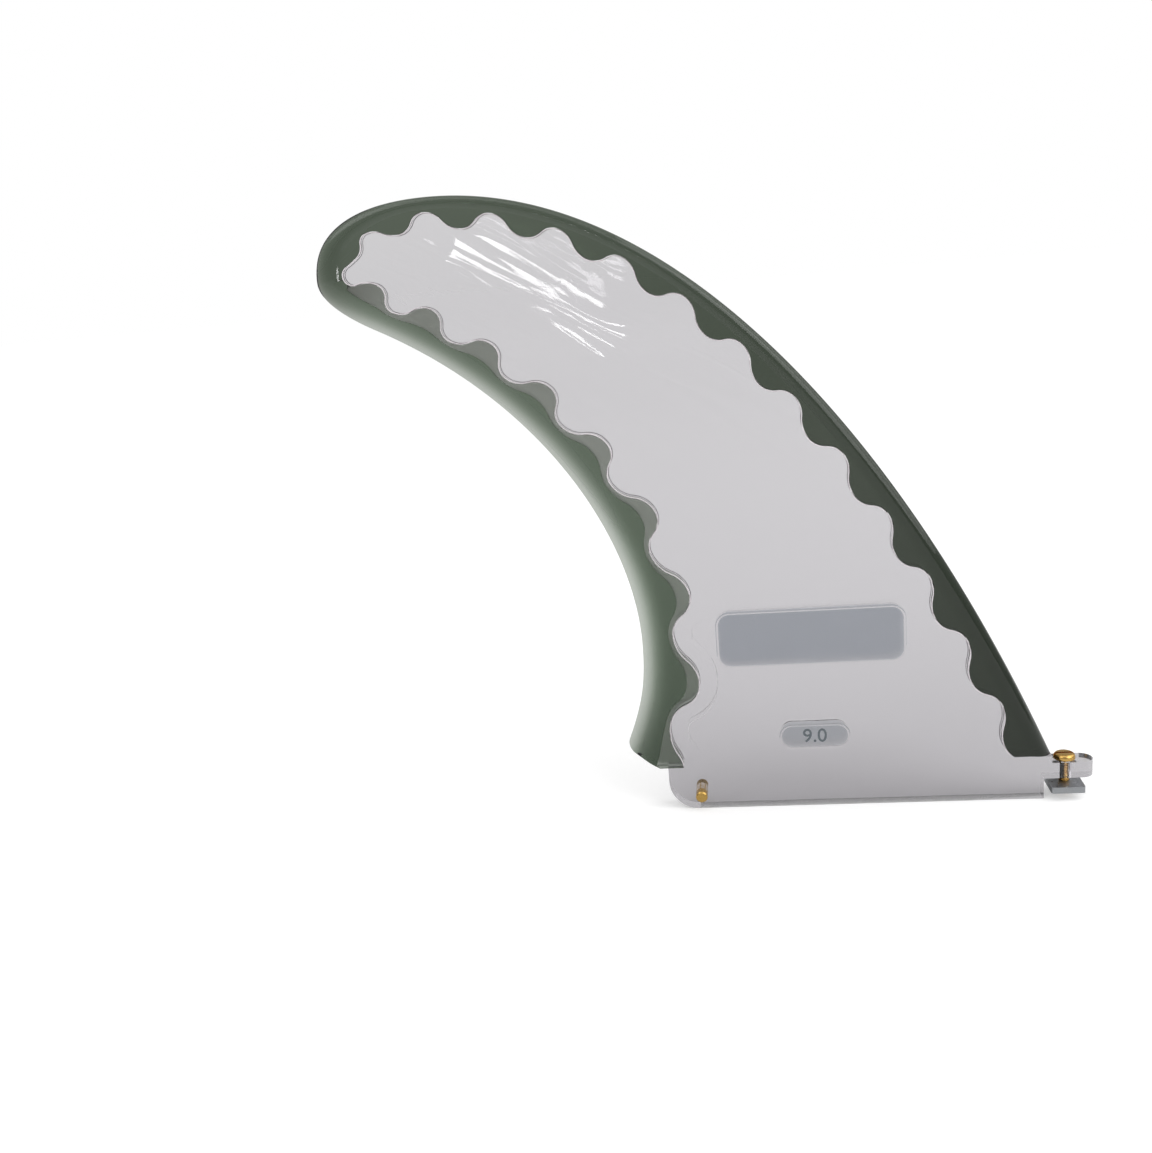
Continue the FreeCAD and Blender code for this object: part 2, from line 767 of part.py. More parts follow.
doc.recompute()
for item in doc.Objects:
    if {"Invalid", "Error"} & set(item.State):
        raise ValueError(item.Name + " failed")

os.makedirs("parts", exist_ok=True)
for piece in (fin_core, flex_edge, cross_pin, fin_screw, screw_plate):
    piece.Label = piece.Name
    shape = piece.Shape
    if shape.isNull() or not shape.isValid():
        raise ValueError(piece.Name + " is not a valid shape")
    shape.exportStep("parts/" + piece.Label + ".step")
    box = shape.BoundBox
    print(piece.Label, len(shape.Solids), "solid", round(shape.Volume, 1), "mm3", box)
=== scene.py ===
"""Longboard centre fin: clear hard core, smoke-green soft rim and brass fixings, on a pale floor."""
import math

import bmesh
import bpy
import numpy as np
from mathutils import Matrix, Vector


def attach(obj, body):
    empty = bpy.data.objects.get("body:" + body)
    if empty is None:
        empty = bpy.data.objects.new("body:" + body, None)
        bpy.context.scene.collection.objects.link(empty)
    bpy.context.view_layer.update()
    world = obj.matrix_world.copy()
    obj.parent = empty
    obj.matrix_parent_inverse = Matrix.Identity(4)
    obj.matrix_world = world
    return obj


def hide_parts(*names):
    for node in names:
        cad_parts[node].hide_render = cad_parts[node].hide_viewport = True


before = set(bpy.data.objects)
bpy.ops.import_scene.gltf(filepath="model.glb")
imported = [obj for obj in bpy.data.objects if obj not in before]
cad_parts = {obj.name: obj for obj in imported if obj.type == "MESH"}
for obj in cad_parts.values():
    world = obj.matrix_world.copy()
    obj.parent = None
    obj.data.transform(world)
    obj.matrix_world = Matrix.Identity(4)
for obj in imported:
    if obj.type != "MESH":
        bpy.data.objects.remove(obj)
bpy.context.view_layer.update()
MM = 0.001

# Camera
# It stands 0.46 m off the mid-plane on the near side, level with the tip, and looks down by 16
# degrees. The shift keeps the fin where the photograph has it, above the middle of the frame.

SENSOR_WIDTH = 36.0
PHOTO_PIXELS, FOCAL_PIXELS, SHIFT_PIXELS = 1153, 1218.7, 33.5  # as fitted to the photograph

camera_data = bpy.data.cameras.new("camera")
camera_data.sensor_width = SENSOR_WIDTH
camera_data.lens = SENSOR_WIDTH * FOCAL_PIXELS / PHOTO_PIXELS
camera_data.shift_y = SHIFT_PIXELS / PHOTO_PIXELS
camera_data.clip_start = 0.01
camera = bpy.data.objects.new("camera", camera_data)
bpy.context.scene.collection.objects.link(camera)
camera_place = (-0.03885, -0.46395, 0.21827)
camera_right = Vector((0.98869, 0.12133, -0.08815))
camera_up = Vector((0.05093, 0.28120, 0.95830))
camera_back = Vector((0.14106, -0.95195, 0.27184))
camera.matrix_world = Matrix.Translation(camera_place) @ Matrix(
    (camera_right, camera_up, camera_back)).transposed().to_4x4()
bpy.context.scene.camera = camera

# Soft rim
# The leading edge, tip and trailing edge: translucent smoke-green polyurethane, moulded round
# the clear core. It is a round bead in front and runs out to a thin edge behind. Its inner
# wall is a wave of scallops, and a slot in it takes the core's thin key on the trailing side.

FOOT = np.array([75.0, 18.0])  # the leading foot, in mm: forward and up
DEPTH = 229.0
LEAD_SLOPE = 66.8  # slopes are in degrees from the board
TOP_BACK, TIP_BACK, TIP_DROP = 225, 270, 27  # backs are measured from the foot
HOOK_INSET, HOOK_DROP, HOOK_SLOPE = 21.2, 46.6, 27.3
WAIST_BACK, WAIST_UP = 157, 52
HEEL_FLARE, HEEL_UP, HEEL_SLOPE = 8.7, 10.5, 67.7
HEEL_RADIUS, HEEL_CLEAR, UNDERSIDE_SLOPE = 3.0, 3.4, 31
LEAD_PULLS, TOP_PULLS, TIP_PULLS = (139, 92), (32, 15.5), (9, 4)  # each curve's two handles
HOOK_PULLS, WAIST_PULLS = (70.5, 42), (16, 18)
TAB_LENGTH = 150
RUN_ON = 36  # how far the outline is carried on below its two ends


def heading(angle):
    """The direction at an angle in degrees up from forward."""
    return np.array([math.cos(math.radians(angle)), math.sin(math.radians(angle))])


def on_plan(back, up):
    """The point so far back from the leading foot and up from the board."""
    return FOOT + (-back, up)


def bezier(start, start_pull, end_pull, end, steps=300):
    """Points along a curve whose two handles are given from its ends."""
    share = np.linspace(0, 1, steps + 1)[:, None]
    rest = 1 - share
    return (rest ** 3 * start + 3 * rest ** 2 * share * (start + start_pull)
            + 3 * rest * share ** 2 * (end + end_pull) + share ** 3 * end)


def side_outline():
    """The outline's curves, up the leading edge, round the tip and down the trailing edge."""
    top = on_plan(TOP_BACK, DEPTH)
    tip = on_plan(TIP_BACK, DEPTH - TIP_DROP)
    hook = on_plan(TIP_BACK - HOOK_INSET, DEPTH - HOOK_DROP)
    waist = on_plan(WAIST_BACK, WAIST_UP)
    heel = on_plan(WAIST_BACK + HEEL_FLARE, HEEL_UP)
    leaning = heading(180 - LEAD_SLOPE)
    hooking = heading(-HOOK_SLOPE)
    flaring = heading(180 + HEEL_SLOPE)
    forward, up = np.array([1.0, 0.0]), np.array([0.0, 1.0])
    return [
        np.array([FOOT - leaning * RUN_ON, FOOT]),
        bezier(FOOT, leaning * LEAD_PULLS[0], forward * LEAD_PULLS[1], top),
        bezier(top, forward * -TOP_PULLS[0], up * TOP_PULLS[1], tip),
        bezier(tip, up * -TIP_PULLS[0], hooking * -TIP_PULLS[1], hook),
        bezier(hook, hooking * HOOK_PULLS[0], up * HOOK_PULLS[1], waist),
        bezier(waist, up * -WAIST_PULLS[0], flaring * -WAIST_PULLS[1], heel),
        np.array([heel, heel + flaring * RUN_ON]),
    ]


outline_curves = side_outline()
outline_points = np.vstack([outline_curves[0]] + [curve[1:] for curve in outline_curves[1:]])
outline_steps = np.hypot(*np.diff(outline_points, axis=0).T)
outline_runs = np.concatenate([[0], np.cumsum(outline_steps)]) - RUN_ON
outline_corners = np.cumsum([0] + [len(curve) - 1 for curve in outline_curves])
FOOT_RUN, TOP_RUN, TIP_RUN, HOOK_RUN, WAIST_RUN, HEEL_RUN = outline_runs[outline_corners[1:-1]]
outline_along = np.gradient(outline_points, outline_runs, axis=0)
outline_along /= np.hypot(*outline_along.T)[:, None]

BLADE_THICKNESS, THINNING = 9.3, 4.1  # at the board, and what is gone by the tip
CREST_LAND, SCALLOP_GAP = 0.9, 0.1
LAST_SCALLOP_RUN, LAST_SCALLOP_DEPTH = 24, 12.5
KEY_HALF, KEY_GAP, KEY_LIP, KEY_LAST_DEPTH = 1.8, 1.1, 0.6, 1.5


def inset(runs, distances):
    """Points at distances inside the outline, each at its run along it."""
    point = [np.interp(runs, outline_runs, outline_points[:, axis]) for axis in (0, 1)]
    along = [np.interp(runs, outline_runs, outline_along[:, axis]) for axis in (0, 1)]
    return np.stack([point[0] - distances * along[1], point[1] + distances * along[0]], -1)


def blended(runs, stations):
    """Values that run smoothly between (run, value) stations and are level at each."""
    total = np.full(np.shape(runs), float(stations[0][1]))
    for (run_a, value_a), (run_b, value_b) in zip(stations, stations[1:]):
        share = np.clip((runs - run_a) / (run_b - run_a), 0, 1)
        total = total + (value_b - value_a) * share * share * (3 - 2 * share)
    return total


def crest_inset(runs):
    """How far inside the outline the scallops' crests lie."""
    return blended(runs, [
        (FOOT_RUN, 7.4), (TOP_RUN, 4.5), (TIP_RUN, 10.0),
        (HOOK_RUN, 8.0), (WAIST_RUN, 11.6), (HEEL_RUN, 13.2),
    ])


def scallop_depth(runs):
    """How far the valleys reach in from the crests."""
    return blended(runs, [
        (TOP_RUN, 6.2), (TIP_RUN, 3.0), (HOOK_RUN, 7.3), (WAIST_RUN, 9.4), (HEEL_RUN, 10.0)])


def key_depth(runs):
    """How far the valleys of the key's own line reach in."""
    return blended(runs, [(TIP_RUN, 0.8), (HEEL_RUN, 6.5)])


def half_thickness(height):
    """From the mid-plane to the blade's flat side, at a height above the tab's foot."""
    return (BLADE_THICKNESS - THINNING * (height - FOOT[1]) / DEPTH) / 2


def valley_runs(start, pitch, change, end):
    """The valleys' runs along the outline, at a pitch that changes evenly."""
    runs = [start]
    while runs[-1] + pitch <= end:
        runs.append(runs[-1] + pitch)
        pitch += change
    return runs


def arc_through(start, middle, end, count):
    """Points along the circle through three points, the first left out."""
    a, b = middle - start, end - start
    twice = 2 * (a[0] * b[1] - a[1] * b[0])
    centre = start + np.array([
        b[1] * (a @ a) - a[1] * (b @ b), a[0] * (b @ b) - b[0] * (a @ a)]) / twice
    first = math.atan2(*(start - centre)[::-1])
    last = math.atan2(*(end - centre)[::-1])
    if twice > 0:
        last += 2 * math.pi if last < first else 0
    else:
        last -= 2 * math.pi if last > first else 0
    angles = np.linspace(first, last, count + 1)[1:]
    radius = math.hypot(*(start - centre))
    return centre + radius * np.stack([np.cos(angles), np.sin(angles)], -1)


def crest_after(run, next_run):
    """The run of the crest between two valleys: the scallops lean towards the board."""
    return run + (next_run - run) * blended(run, [(TOP_RUN, 0.56), (HOOK_RUN, 0.42)])


def tangent_arc(start, handle, end, count):
    """Points along an arc whose end tangents meet at the handle, the first left out."""
    to_handle, chord = handle - start, end - start
    leaning = to_handle @ chord / math.sqrt((to_handle @ to_handle) * (chord @ chord))
    chord_middle = (start + end) / 2
    apex = chord_middle + (handle - chord_middle) * leaning / (1 + leaning)
    return arc_through(start, apex, end, count)


def scallop_arcs(start_turn, end_turn):
    """Two arcs that meet smoothly, from crest to valley or back, level with the outline at both."""
    start, end = inset(*start_turn), inset(*end_turn)
    along = []
    for run, _ in (start_turn, end_turn):
        way = np.array([np.interp(run, outline_runs, outline_along[:, axis]) for axis in (0, 1)])
        along.append(way / np.hypot(*way))
    gap = end - start
    lead = gap @ (along[0] + along[1])
    spread = 2 * (1 - along[0] @ along[1])
    reach = gap @ gap / (lead + math.sqrt(lead ** 2 + spread * (gap @ gap)))
    handles = start + along[0] * reach, end - along[1] * reach
    meeting = (handles[0] + handles[1]) / 2
    return np.vstack([
        tangent_arc(start, handles[0], meeting, count=9),
        tangent_arc(meeting, handles[1], end, count=9)])


def scalloped_line(valleys, crest, depth, last_depth):
    """Curves through crests and valleys in turn, from a crest below the board and back."""
    first_crest = crest_after(2 * valleys[0] - valleys[1], valleys[0])
    turns = [(first_crest, crest(first_crest))]
    for run, next_run in zip(valleys, valleys[1:] + [2 * valleys[-1] - valleys[-2]]):
        crest_run = crest_after(run, next_run)
        turns += [(run, crest(run) + depth(run)), (crest_run, crest(crest_run))]
    last_valley = turns[-1][0] + LAST_SCALLOP_RUN
    turns.append((last_valley, crest(last_valley) + last_depth))
    return np.vstack([inset(*turns[0])[None]] + [
        scallop_arcs(start, end) for start, end in zip(turns, turns[1:])])


def moved_out(line, distance):
    """A line shifted to its outer side, which lies on the right as it runs."""
    along = np.gradient(line, axis=0)
    along /= np.hypot(*along.T)[:, None]
    return line + distance * np.stack([along[:, 1], -along[:, 0]], -1)


def outline_run_of(points, spacing=0.1):
    """The run of the outline's nearest point, for each of the points."""
    fine_runs = np.arange(outline_runs[0], outline_runs[-1], spacing)
    fine = inset(fine_runs, 0)
    away = ((points[:, None] - fine[None]) ** 2).sum(-1)
    return fine_runs[away.argmin(1)]


LEAD_VALLEYS = valley_runs(start=10.6, pitch=30.6, change=-0.42, end=TIP_RUN - 12)
TRAIL_VALLEYS = valley_runs(start=TIP_RUN + 24, pitch=21.9, change=1.65, end=HEEL_RUN - 24)
wave = scalloped_line(
    LEAD_VALLEYS + TRAIL_VALLEYS, lambda run: crest_inset(run) + CREST_LAND, scallop_depth,
    LAST_SCALLOP_DEPTH)
key_line = scalloped_line(
    TRAIL_VALLEYS, lambda run: crest_inset(run) - KEY_LIP, key_depth, KEY_LAST_DEPTH)

CROWN_TURN, CROWN_SHARE, CROWN_PROUD = 0.72, 0.56, 0.42  # where the bead is highest, and how much
BORDER_TURNS = np.concatenate([np.linspace(0, CROWN_TURN, 13), np.linspace(CROWN_TURN, 1, 5)[1:]])
TAPER_AHEAD = 15  # how far before the tip the bead starts to turn into the thin edge
SECTION_SPACING = 1.2  # the widest step along the outline
SKIN = 0.55  # the least wall outside the key's slot
BELOW_BOARD = 12  # how far the sections are carried on down, to be trimmed


def border(runs):
    """The near border at each run: points from the outline in to the flat panel, as (x, z, y)."""
    width = crest_inset(runs)[:, None]
    full = half_thickness(inset(runs, crest_inset(runs))[:, 1])[:, None]
    trailing = blended(runs, [(TIP_RUN - TAPER_AHEAD, 0.0), (HOOK_RUN, 1.0)])[:, None]
    land = blended(runs, [(TOP_RUN, 0.15), (HOOK_RUN, 0.55)])[:, None]
    turn = BORDER_TURNS[None]
    rising = np.minimum(turn / CROWN_TURN, 1) * math.pi / 2
    settling = np.maximum(turn - CROWN_TURN, 0) / (1 - CROWN_TURN)
    bead_share = np.where(
        settling > 0,
        CROWN_SHARE + (1 - CROWN_SHARE) * settling,
        CROWN_SHARE * (1 - np.cos(rising)))
    bead_height = np.where(
        settling > 0,
        full + CROWN_PROUD * np.cos(math.pi / 2 * settling),
        land + (full + CROWN_PROUD - land) * np.sin(rising))
    taper_height = (land + full) / 2 - (full - land) / 2 * np.cos(math.pi * turn)
    share = bead_share * (1 - trailing) + turn * trailing
    height = bead_height * (1 - trailing) + taper_height * trailing
    plan = np.stack([inset(runs, column) for column in (share * width).T], 1)
    return np.concatenate([plan, -height[..., None]], -1)


def rim_sections():
    """Closed sections across the rim, one for each point of its scalloped wall and more between.

    The extra ones stand between points whose places on the outline lie wide apart.
    """
    wall = moved_out(wave, SCALLOP_GAP)
    wall = np.vstack([[wall[0] - (0, BELOW_BOARD)], wall, [wall[-1] - (0, BELOW_BOARD)]])
    runs = np.maximum.accumulate(outline_run_of(wall))
    runs += np.arange(len(runs)) * 1e-4  # so that they always rise
    section_runs = np.concatenate([
        np.linspace(start, end, math.ceil((end - start) / SECTION_SPACING), endpoint=False)
        for start, end in zip(runs[:-1], runs[1:])] + [runs[-1:]])
    wall = np.column_stack([np.interp(section_runs, runs, wall[:, axis]) for axis in (0, 1)])
    runs = section_runs
    key = moved_out(key_line, SCALLOP_GAP)
    key = np.vstack([key, [key[-1] - (0, BELOW_BOARD)]])
    key_runs = np.maximum.accumulate(outline_run_of(key))
    bottom = wall.copy()
    keyed = (runs > key_runs[0]) & (runs < key_runs[-1])
    for axis in (0, 1):
        bottom[keyed, axis] = np.interp(runs[keyed], key_runs, key[:, axis])
    near = border(runs)

    def at(plan, depths):
        """One row of points, at distances from the mid-plane."""
        return np.column_stack([plan, depths])[:, None]

    panel = half_thickness(np.maximum(wall[:, 1], FOOT[1]))
    slot = np.minimum(KEY_HALF + KEY_GAP, panel - SKIN)
    rows = [
        near, at(wall, -panel), at(wall, -slot), at(bottom, -slot),
        at(bottom, slot), at(wall, slot), at(wall, panel),
        near[:, ::-1] * (1, 1, -1),
    ]
    return np.concatenate(rows, 1)


BOARD_CLEAR = 0.03
CUTTER_FRONT, CUTTER_FLOOR, CUTTER_BEHIND, CUTTER_HALF = 110, -40, 30, 12.0


def heel_and_board_cutter():
    """The outline of what lies below the board's surface and below the rim's rounded heel."""
    start = on_plan(TAB_LENGTH + HEEL_CLEAR, BOARD_CLEAR)
    heel = on_plan(WAIST_BACK + HEEL_FLARE, HEEL_UP)
    rearward, upward = heading(180 - UNDERSIDE_SLOPE), heading(HEEL_SLOPE)
    gap = heel - start
    slope = rearward[0] * upward[1] - rearward[1] * upward[0]
    corner = start + rearward * ((gap[0] * upward[1] - gap[1] * upward[0]) / slope)
    half_turn = math.radians((180 - UNDERSIDE_SLOPE - HEEL_SLOPE) / 2)
    reach = HEEL_RADIUS / math.tan(half_turn)
    bisector = (upward - rearward) / np.hypot(*(upward - rearward))
    middle = corner + bisector * (HEEL_RADIUS / math.sin(half_turn) - HEEL_RADIUS)
    below, behind = corner - rearward * reach, corner + upward * reach
    back = behind[0] - CUTTER_BEHIND
    return np.vstack([
        [(CUTTER_FRONT, start[1]), start, below], arc_through(below, middle, behind, count=10),
        [(back, behind[1]), (back, CUTTER_FLOOR), (CUTTER_FRONT, CUTTER_FLOOR)],
    ])


def mesh_object(name, vertices, faces):
    """A mesh from (x, z, y) points in mm, merged, turned outwards and set in metres."""
    data = bpy.data.meshes.new(name)
    data.from_pydata([(x * MM, y * MM, z * MM) for x, z, y in vertices], [], faces)
    work = bmesh.new()
    work.from_mesh(data)
    bmesh.ops.remove_doubles(work, verts=work.verts, dist=1e-6)
    bmesh.ops.dissolve_degenerate(work, edges=work.edges, dist=1e-7)
    bmesh.ops.recalc_face_normals(work, faces=work.faces)
    work.to_mesh(data)
    work.free()
    made = bpy.data.objects.new(name, data)
    bpy.context.scene.collection.objects.link(made)
    return made


def prism(name, outline, half):
    """An outline of (x, z) points drawn out to both sides of the mid-plane."""
    count = len(outline)
    vertices = [(x, z, y) for y in (-half, half) for x, z in outline]
    faces = [tuple(range(count)), tuple(range(2 * count - 1, count - 1, -1))]
    faces += [(i, (i + 1) % count, (i + 1) % count + count, i + count) for i in range(count)]
    return mesh_object(name, vertices, faces)


def applied(made):
    """Replace the object's mesh by the one that its modifiers give."""
    evaluated = made.evaluated_get(bpy.context.evaluated_depsgraph_get())
    data = bpy.data.meshes.new_from_object(evaluated)
    made.modifiers.clear()
    made.data = data
    data.name = made.name
    return made


sections = rim_sections()
columns, around = sections.shape[:2]
rim_faces = [
    (c * around + r, c * around + (r + 1) % around,
     (c + 1) * around + (r + 1) % around, (c + 1) * around + r)
    for c in range(columns - 1) for r in range(around)
]
rim_faces += [
    tuple(range(around)),
    tuple(range(columns * around - 1, (columns - 1) * around - 1, -1)),
]
soft_rim = mesh_object("soft_rim", sections.reshape(-1, 3), rim_faces)
waste = prism("rim_waste", heel_and_board_cutter(), CUTTER_HALF)
trimming = soft_rim.modifiers.new("trim", "BOOLEAN")
trimming.operation = "DIFFERENCE"
trimming.solver = "EXACT"
trimming.object = waste
applied(soft_rim)
bpy.data.objects.remove(waste)
soft_rim.data.shade_smooth()
soft_rim.data.set_sharp_from_angle(angle=math.radians(13))


def linear(hex_colour):
    """An sRGB hex colour as linear RGBA."""
    values = [int(hex_colour[i:i + 2], 16) / 255 for i in (1, 3, 5)]
    return [v / 12.92 if v <= 0.04045 else ((v + 0.055) / 1.055) ** 2.4 for v in values] + [1.0]


COLOUR_A, COLOUR_B, COLOUR_MIXED = 6, 7, 2  # where a mix node has its colour sockets


def add(tree, kind, settings=None, inputs=None):
    """Add a node with its settings. An input is a value, or another node's socket to link."""
    made = tree.nodes.new(kind)
    for name, value in (settings or {}).items():
        setattr(made, name, value)
    for name, value in (inputs or {}).items():
        if isinstance(value, bpy.types.NodeSocket):
            tree.links.new(value, made.inputs[name])
        else:
            made.inputs[name].default_value = value
    return made


def new_material(name):
    """A material with an empty node tree, and that tree."""
    made = bpy.data.materials.new(name)
    made.use_nodes = True
    made.node_tree.nodes.clear()
    return made, made.node_tree


SLOT_ROUGHNESS = 0.32


def rim_urethane():
    """Cast urethane, polished by its mould: a wet gloss, smoke green that deepens with thickness.

    The green is deepest at the leading edge. The faces inside the key's slot are slightly matt.
    """
    made, tree = new_material("smoke_green_cast_urethane")
    place = add(tree, "ShaderNodeTexCoord")
    ripple = add(tree, "ShaderNodeTexNoise", None, {
        "Vector": place.outputs["Object"], "Scale": 90.0, "Detail": 2.0, "Roughness": 0.4})
    relief = add(tree, "ShaderNodeBump", None, {
        "Height": ripple.outputs["Fac"], "Strength": 0.06, "Distance": 0.0004})
    smears = add(tree, "ShaderNodeTexNoise", None, {
        "Vector": place.outputs["Object"], "Scale": 45.0, "Detail": 5.0, "Distortion": 0.6})
    sheen = add(tree, "ShaderNodeMapRange", None, {
        "Value": smears.outputs["Fac"], "From Min": 0.35, "From Max": 0.75,
        "To Min": 0.015, "To Max": 0.04})
    in_slot = add(tree, "ShaderNodeAttribute", {"attribute_name": "in_slot"})
    slot_dulling = add(tree, "ShaderNodeMath", {"operation": "MULTIPLY"}, {
        0: in_slot.outputs["Fac"], 1: SLOT_ROUGHNESS})
    polish = add(tree, "ShaderNodeMath", {"operation": "MAXIMUM"}, {
        0: sheen.outputs["Result"], 1: slot_dulling.outputs["Value"]})
    trailing = add(tree, "ShaderNodeAttribute", {"attribute_name": "trailing"})
    tint = add(tree, "ShaderNodeMix", {"data_type": "RGBA"}, {
        "Factor": trailing.outputs["Fac"],
        COLOUR_A: linear("#7a7874"), COLOUR_B: linear("#cdcecb")})
    surface = add(tree, "ShaderNodeBsdfPrincipled", None, {
        "Base Color": tint.outputs[COLOUR_MIXED], "Roughness": polish.outputs["Value"],
        "Transmission Weight": 1.0, "IOR": 1.5, "Normal": relief.outputs["Normal"]})
    volume = add(tree, "ShaderNodeVolumeAbsorption", None, {
        "Color": (0.07, 0.20, 0.05, 1.0), "Density": 300.0})
    add(tree, "ShaderNodeOutputMaterial", None, {
        "Surface": surface.outputs["BSDF"], "Volume": volume.outputs["Volume"]})
    return made


rim_data = soft_rim.data
rim_places = np.array([vertex.co for vertex in rim_data.vertices]) / MM
trailing_share = blended(
    outline_run_of(rim_places[:, [0, 2]]), [(FOOT_RUN, 0.0), (TIP_RUN, 0.5), (HOOK_RUN, 1.0)])
rim_data.attributes.new("trailing", "FLOAT", "POINT").data.foreach_set("value", trailing_share)
FACING = 0.5  # a face in the slot turns at least this share of its normal to the mid-plane
in_slot = [
    float(face.normal.y * face.center.y < -FACING * abs(face.center.y))
    for face in rim_data.polygons]
rim_data.attributes.new("in_slot", "FLOAT", "FACE").data.foreach_set("value", in_slot)
rim_data.materials.clear()
rim_data.materials.append(rim_urethane())
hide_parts("flex_edge")
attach(soft_rim, "root")

# Clear core
# Blade, scalloped edge, key, tab and screw tongue in one moulding of clear hard plastic, with
# a faint lilac cast. The mark's place is a frosted panel and the size stands in a frosted pill.

MARK_PLACE = ((-0.0161, 0.0711), (0.0355, 0.0105), 0.0045)  # centre, half size, corner radius
SIZE_PLACE = ((-0.0158, 0.02985), (0.0129, 0.00415), 0.0041)
PANEL_EDGE, RIB_HALF = 0.0001, 0.0006  # all in metres


def distance_from(tree, place, centre, half, radius):
    """How far a surface point is outside a round-cornered field of the blade's side."""
    aside = add(tree, "ShaderNodeVectorMath", {"operation": "SUBTRACT"}, {
        0: place, 1: (centre[0], 0, centre[1])})
    aside = add(tree, "ShaderNodeVectorMath", {"operation": "ABSOLUTE"}, {0: aside.outputs[0]})
    aside = add(tree, "ShaderNodeVectorMath", {"operation": "SUBTRACT"}, {
        0: aside.outputs[0], 1: (half[0] - radius, 1, half[1] - radius)})
    aside = add(tree, "ShaderNodeVectorMath", {"operation": "MAXIMUM"}, {0: aside.outputs[0]})
    away = add(tree, "ShaderNodeVectorMath", {"operation": "LENGTH"}, {0: aside.outputs[0]})
    return add(tree, "ShaderNodeMath", {"operation": "SUBTRACT"}, {
        0: away.outputs["Value"], 1: radius}).outputs["Value"]


def clear_polycarbonate():
    """Clear injection-moulded polycarbonate: a hard gloss, greyer where the blade is thicker.

    The panels for mark and size are spark-eroded in the mould, so they come out frosted, each
    inside a raised clear rib.
    """
    made, tree = new_material("clear_moulded_polycarbonate")
    place = add(tree, "ShaderNodeTexCoord").outputs["Object"]
    smears = add(tree, "ShaderNodeTexNoise", None, {
        "Vector": place, "Scale": 30.0, "Detail": 6.0, "Distortion": 0.8})
    sheen = add(tree, "ShaderNodeMapRange", None, {
        "Value": smears.outputs["Fac"], "From Min": 0.4, "From Max": 0.75,
        "To Min": 0.015, "To Max": 0.06})
    mark = distance_from(tree, place, *MARK_PLACE)
    pill = distance_from(tree, place, *SIZE_PLACE)
    in_mark = add(tree, "ShaderNodeMapRange", None, {
        "Value": mark, "From Min": -PANEL_EDGE, "From Max": PANEL_EDGE,
        "To Min": 1.0, "To Max": 0.0})
    in_pill = add(tree, "ShaderNodeMapRange", None, {
        "Value": pill, "From Min": -PANEL_EDGE, "From Max": PANEL_EDGE,
        "To Min": 1.0, "To Max": 0.0})
    frosted = add(tree, "ShaderNodeMath", {"operation": "MAXIMUM"}, {
        0: in_mark.outputs["Result"], 1: in_pill.outputs["Result"]})
    nearest = add(tree, "ShaderNodeMath", {"operation": "MINIMUM"}, {0: mark, 1: pill})
    off_rib = add(tree, "ShaderNodeMath", {"operation": "SUBTRACT"}, {
        0: nearest.outputs["Value"], 1: RIB_HALF})
    off_rib = add(tree, "ShaderNodeMath", {"operation": "ABSOLUTE"}, {0: off_rib.outputs["Value"]})
    rib = add(tree, "ShaderNodeMapRange", {"interpolation_type": "SMOOTHSTEP"}, {
        "Value": off_rib.outputs["Value"], "From Min": 0.0, "From Max": RIB_HALF,
        "To Min": 1.0, "To Max": 0.0})
    rib_relief = add(tree, "ShaderNodeBump", None, {
        "Height": rib.outputs["Result"], "Strength": 1.0, "Distance": 0.0002})
    flow = add(tree, "ShaderNodeMapping", {"vector_type": "TEXTURE"}, {
        "Vector": place, "Rotation": (0, math.radians(31), 0), "Scale": (0.055, 0.055, 0.009)})
    drawn = add(tree, "ShaderNodeTexNoise", None, {
        "Vector": flow.outputs["Vector"], "Scale": 1.0, "Detail": 1.5, "Roughness": 0.4,
        "Distortion": 1.2})
    drawn_relief = add(tree, "ShaderNodeBump", None, {
        "Height": drawn.outputs["Fac"], "Strength": 0.4, "Distance": 0.0003,
        "Normal": rib_relief.outputs["Normal"]})
    grit = add(tree, "ShaderNodeTexNoise", None, {"Vector": place, "Scale": 2500.0})
    grit_height = add(tree, "ShaderNodeMath", {"operation": "MULTIPLY"}, {
        0: grit.outputs["Fac"], 1: frosted.outputs["Value"]})
    relief = add(tree, "ShaderNodeBump", None, {
        "Height": grit_height.outputs["Value"], "Strength": 0.5, "Distance": 0.0001,
        "Normal": drawn_relief.outputs["Normal"]})
    mark_tint = add(tree, "ShaderNodeMix", {"data_type": "RGBA"}, {
        "Factor": in_mark.outputs["Result"],
        COLOUR_A: linear("#ffffff"), COLOUR_B: linear("#ccd2d8")})
    pill_tint = add(tree, "ShaderNodeMix", {"data_type": "RGBA"}, {
        "Factor": in_pill.outputs["Result"],
        COLOUR_A: mark_tint.outputs[COLOUR_MIXED], COLOUR_B: linear("#dfe4e7")})
    roughness = add(tree, "ShaderNodeMix", {"data_type": "FLOAT"}, {
        "Factor": frosted.outputs["Value"], "A": sheen.outputs["Result"], "B": 0.5})
    surface = add(tree, "ShaderNodeBsdfPrincipled", None, {
        "Base Color": pill_tint.outputs[COLOUR_MIXED], "Roughness": roughness.outputs["Result"],
        "Transmission Weight": 1.0, "IOR": 1.585, "Normal": relief.outputs["Normal"]})
    volume = add(tree, "ShaderNodeVolumeAbsorption", None, {
        "Color": (0.42, 0.40, 0.43, 1.0), "Density": 138.0})
    add(tree, "ShaderNodeOutputMaterial", None, {
        "Surface": surface.outputs["BSDF"], "Volume": volume.outputs["Volume"]})
    return made


def finish_node(name, material):
    """Give a carried-over CAD node its material."""
    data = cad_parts[name].data
    data.materials.clear()
    data.materials.append(material)


finish_node("fin_core", clear_polycarbonate())

# Size mark
# Plain digits in the frosted pill low on the near side, printed on the core in slate grey ink
# that stands a little proud of it.

